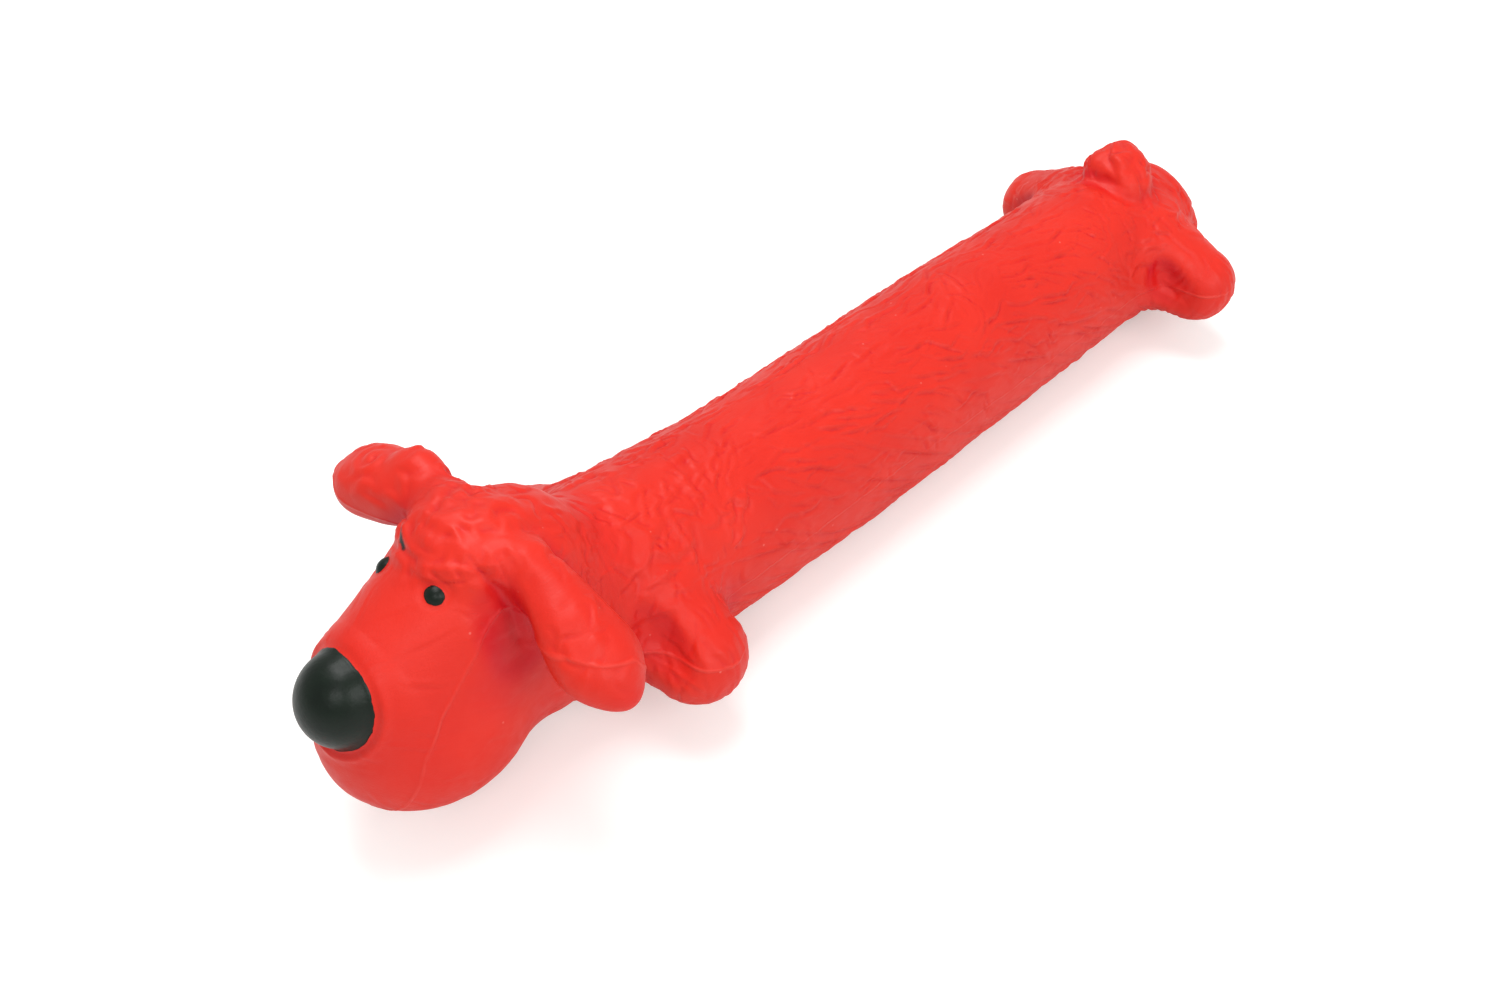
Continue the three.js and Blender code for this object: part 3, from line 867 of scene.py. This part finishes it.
weights = {
    "head": ramp(-smooth[:, 1], *NECK_BLEND),
    "chest": ramp(-smooth[:, 1], *FRONT_BLEND),
    "rump": ramp(smooth[:, 1], *REAR_BLEND),
    "tail": ramp(smooth[:, 2], *TAIL_BLEND) * (1 - ramp(tail(smooth), 0.4, 1.6)),
}
for side, word in SIDES.items():
    own = side * smooth[:, 0] > 0
    weights["ear_" + word] = own * ear_weight(smooth, side)
    weights["foreleg_" + word] = own * leg_weight(smooth, foreleg, FORELEG_ROOT)
    weights["hind_leg_" + word] = own * leg_weight(smooth, hindleg, HINDLEG_ROOT)
panel_low, panel_high = node_box("skin_back_panel")
panel_middle = (panel_low[1] + panel_high[1]) / 2
weights["back_panel"] = (
    (1 - ramp(np.abs(smooth[:, 1] - panel_middle), *DENT_LENGTH))
    * (1 - ramp(np.abs(smooth[:, 0]), *DENT_WIDTH))
    * ramp(smooth[:, 2], *DENT_HEIGHT)
)

# Each skin piece: name, the two bodies it lies between, and the CAD nodes it stands for.
# A piece listed later takes its faces first, so an outer body comes after the one it hangs from.
PIECES = [("skin_chest", "body", "chest", ["skin_chest"]),
          ("skin_head", "chest", "head", ["skin_head"]),
          ("skin_rump", "body", "rump", ["skin_rump"]),
          ("tail", "rump", "tail", ["tail"])]
for word in SIDES.values():
    PIECES.append(("ear_" + word, "head", "ear_" + word, ["ear_" + word]))
    PIECES.append(("foreleg_" + word, "chest", "foreleg_" + word, ["foreleg_" + word]))
    PIECES.append(("hind_leg_" + word, "rump", "hind_leg_" + word, ["hind_leg_" + word]))
LAST_PIECE = ("skin_body", "body", "back_panel", ["skin_body", "skin_back_panel"])

red = red_latex()
black = black_paint()


def skin_piece(name, parent, child, nodes, faces):
    """The skin over some faces, in place of the given CAD nodes, which it hides."""
    used, local = np.unique(faces, return_inverse=True)
    obj = make_mesh(name + "_skin", skin[used], local.reshape(faces.shape), normals[used], {
        "place_mm": smooth[used], "hollow": hollow[used], "crease_shade": crease_shade[used], "mark": mark[used],
        "parting_mm": parting_distance(smooth[used]),
    })
    obj.data.materials.append(red)
    lengthwise = (0, joint_along(child), 0)
    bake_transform(obj)
    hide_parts(*nodes)


def joint_along(child):
    """A length in metres: 0.01 for the rump and the tail, -0.01 for the other bodies."""
    return 0.01 if child in ("rump", "tail") else -0.01


left_over = np.ones(len(quads), bool)
for name, parent, child, nodes in reversed(PIECES):
    mine = left_over & (weights[child][quads] > 0).any(1)
    left_over &= ~mine
    skin_piece(name, parent, child, nodes, quads[mine])
skin_piece(*LAST_PIECE, quads[left_over])


# ----------------------------------------------------------------- the paint
FURTHEST_LEAN = math.radians(150)


def paint_coat(name, ball, centre, forward, radius, spread, rows=28, columns=72, lift=0.12, ragged=0.25):
    """A coat of paint over a ball that stands out of the skin, ending at the crease round it.
    ball gives the distance from the ball, and the coat ends where the skin is spread away from it."""
    forward = forward / np.linalg.norm(forward)
    side = np.cross(forward, (0.0, 0.0, 1.0))
    side /= np.linalg.norm(side)
    up = np.cross(side, forward)
    turn = np.linspace(0, 2 * math.pi, columns, endpoint=False)
    lean = np.linspace(0, FURTHEST_LEAN, 120)

    def ray(lean, turn):
        return (np.cos(lean)[:, None] * forward
                + np.sin(lean)[:, None] * (np.cos(turn)[:, None] * side + np.sin(turn)[:, None] * up))

    def reach(lean, turn):
        """Distance from the centre to the skin along each ray."""
        direction = ray(lean, turn)
        length = np.full(len(lean), 0.8 * radius)
        for _ in range(40):
            length = length - 0.8 * toy(centre + length[:, None] * direction)
        return length

    grid_lean, grid_turn = np.meshgrid(lean, turn, indexing="ij")
    lengths = reach(grid_lean.ravel(), grid_turn.ravel()).reshape(grid_lean.shape)
    surface = centre + lengths.ravel()[:, None] * ray(grid_lean.ravel(), grid_turn.ravel())
    off_ball = ball(surface).reshape(lengths.shape) > spread
    edge = lean[np.argmax(off_ball, axis=0)]
    edge = (np.roll(edge, 1) + 2 * edge + np.roll(edge, -1)) / 4
    wobble = noise(np.stack([3 * np.cos(turn), 3 * np.sin(turn), np.full(columns, radius)], 1), 51)
    wobble += 0.6 * noise(np.stack([9 * np.cos(turn), 9 * np.sin(turn), np.full(columns, radius)], 1), 52)
    edge = edge + ragged * wobble / radius
    share = np.linspace(0, 1, rows)[1:]
    all_lean = (share[:, None] * edge[None, :]).ravel()
    all_turn = np.tile(turn, rows - 1)
    out = reach(all_lean, all_turn).reshape(rows - 1, columns) + lift
    out[-1] -= 2.5 * lift
    points = centre + out.ravel()[:, None] * ray(all_lean, all_turn)
    tip = centre + (reach(np.zeros(1), np.zeros(1)) + lift)[:, None] * forward
    points = np.concatenate([tip, points])
    first = 1 + np.arange(columns)
    after = np.roll(first, -1)
    cap = np.stack([np.zeros(columns, int), first, after, after], 1)
    faces = [cap]
    for row in range(rows - 2):
        faces.append(np.stack([first, first + columns, after + columns, after], 1) + [row * columns] * 4)
    return painted_mesh(name, points, np.concatenate(faces))


def painted_mesh(name, points, faces):
    """A painted piece; a face that repeats its last corner is a triangle."""
    mesh = bpy.data.meshes.new(name)
    mesh.from_pydata((points * MM).tolist(), [], [list(dict.fromkeys(face)) for face in faces.tolist()])
    mesh.shade_smooth()
    layer = mesh.attributes.new("place_mm", "FLOAT_VECTOR", "POINT")
    layer.data.foreach_set("vector", points.astype(np.float32).ravel())
    obj = bpy.data.objects.new(name, mesh)
    bpy.context.scene.collection.objects.link(obj)
    obj.data.materials.append(black)
    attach(obj, "head")
    return obj


nose_coat = paint_coat("nose_coat", nose, NOSE_CENTRE, np.array([0, -1.0, 0.05]), NOSE_RADII[0], 0.6,
                       rows=44, columns=120)
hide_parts("nose_paint")
for side, word in SIDES.items():
    centre, outward = EYES[side]
    eye = paint_coat("eye_coat_" + word, lambda p: np.linalg.norm(p - centre, axis=1) - EYE_RADIUS,
                     centre, outward, EYE_RADIUS, 0.10, rows=18, columns=48, lift=0.08, ragged=0.08)
    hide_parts("eye_paint_" + word)


# --------------------------------------------------------------- the filling
FILL_INSET = 3.2
FILL_STEP = 1.6
FILLED = ("head", "chest", "body", "rump")


def fill_field(low_y, high_y):
    """A lumpy wad that fills the skin between two cross-sections."""
    def field(points):
        d = toy(points) + FILL_INSET + 0.7 * (noise(points / 7, 61) + 0.5 * noise(points / 3.2, 62))
        for side in SIDES:
            d = smax(d, FILL_INSET - 1.5 - ear(points, side), 3)
        return smax(d, smax(points[:, 1] - high_y, low_y - points[:, 1], 5), 7)
    return field


def squeaker_room(points):
    """Distance to the hollow that the squeaker sits in."""
    low, high = node_box("squeaker_cap")
    middle = (low + high) / 2
    return ellipsoid(points, (middle[0], middle[1], 6), (11.5, 11.5, 10.5))


def fibre_wad(name):
    low, high = node_box("fill_" + name)
    wad = fill_field(low[1], high[1])
    field = (lambda p: smax(wad(p), -squeaker_room(p), 1.5)) if name == "body" else wad
    points, _, faces = surface_net(field, low - 8, high + 8, FILL_STEP)
    obj = make_mesh("fibre_" + name, points, faces, attributes={"place_mm": points})
    obj.data.materials.append(fibre)
    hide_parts("fill_" + name)
    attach(obj, name)
    if name == "body":
        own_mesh(obj)


fibre = fibre_fill()
for wad_name in FILLED:
    fibre_wad(wad_name)

# -------------------------------------------------------------- the squeaker
cup_plastic = moulded_plastic("squeaker_plastic", (0.82, 0.82, 0.78), (0.74, 0.74, 0.70), 0.38)
reed_plastic = moulded_plastic("squeaker_reed", (0.75, 0.80, 0.84), (0.60, 0.68, 0.75), 0.22)
for node, plastic in (("squeaker_cup", cup_plastic), ("squeaker_reed_seat", cup_plastic),
                      ("squeaker_cap", cup_plastic), ("squeaker_reed", reed_plastic)):
    cad_object = frame["nodes"][node]
    cad_object.data.materials.clear()
    cad_object.data.materials.append(plastic)

# ------------------------------------------------------------------ the stage
FLOOR_HALF = 4.0
FLOOR_GLOW = 0.34


def white_floor():
    """A pale floor whose glow whitens it in the picture and doesn't light the toy."""
    mesh = bpy.data.meshes.new("floor")
    corners = [(-FLOOR_HALF, -FLOOR_HALF), (FLOOR_HALF, -FLOOR_HALF), (FLOOR_HALF, FLOOR_HALF),
               (-FLOOR_HALF, FLOOR_HALF)]
    mesh.from_pydata([(x, y, 0.0) for x, y in corners], [], [(0, 1, 2, 3)])
    floor = bpy.data.objects.new("floor", mesh)
    bpy.context.scene.collection.objects.link(floor)
    material, tree, shader = new_material("white_floor")
    shader.inputs["Base Color"].default_value = (0.80, 0.81, 0.80, 1)
    shader.inputs["Roughness"].default_value = 0.9
    shader.inputs["Specular IOR Level"].default_value = 0.1
    shader.inputs["Emission Color"].default_value = (0.91, 1, 0.97, 1)
    seen = add(tree, "ShaderNodeLightPath").outputs["Is Camera Ray"]
    tree.links.new(math_node(tree, "MULTIPLY", seen, FLOOR_GLOW), shader.inputs["Emission Strength"])
    mesh.materials.append(material)


LIGHT_AIM = Vector((0.0, 0.0, 0.02))


def soft_light(name, place, size, watts):
    """A rectangular lamp facing the middle of the toy, in metres."""
    light = bpy.data.lights.new(name, "AREA")
    light.shape = "RECTANGLE"
    light.size, light.size_y = size
    light.energy = watts
    lamp = bpy.data.objects.new(name, light)
    lamp.location = place
    lamp.rotation_euler = (LIGHT_AIM - Vector(place)).to_track_quat("-Z", "Y").to_euler()
    bpy.context.scene.collection.objects.link(lamp)


def studio():
    """A white room, a long soft light overhead, and others behind the camera and on the toy's left."""
    world = bpy.data.worlds.new("studio")
    world.use_nodes = True
    backdrop = world.node_tree.nodes["Background"]
    backdrop.inputs["Color"].default_value = (1, 1, 1, 1)
    backdrop.inputs["Strength"].default_value = 0.62
    bpy.context.scene.world = world
    soft_light("overhead", (-0.25, 0.05, 1.10), (0.45, 0.90), 8.0)
    soft_light("camera_side", (0.64, -0.80, 0.92), (0.45, 0.45), 2.8)
    soft_light("right_side", (1.15, 0.05, 0.75), (0.7, 0.7), 6.0)


CAMERA_AZIMUTH, CAMERA_ELEVATION = 43.9, 42.87
CAMERA_DISTANCE = 0.4272
CAMERA_TARGET = Vector((0.0, -0.0234, 0.020))


def photo_camera():
    data = bpy.data.cameras.new("camera")
    data.sensor_width = 36.0
    data.lens = 43.18
    data.clip_start = 0.02
    camera = bpy.data.objects.new("camera", data)
    a, e = math.radians(CAMERA_AZIMUTH), math.radians(CAMERA_ELEVATION)
    back = Vector((math.sin(a) * math.cos(e), -math.cos(a) * math.cos(e), math.sin(e)))
    camera.location = CAMERA_TARGET + CAMERA_DISTANCE * back
    camera.rotation_euler = back.to_track_quat("Z", "Y").to_euler()
    bpy.context.scene.collection.objects.link(camera)
    bpy.context.scene.camera = camera


white_floor()
studio()
photo_camera()
bpy.context.scene.view_settings.view_transform = "Standard"
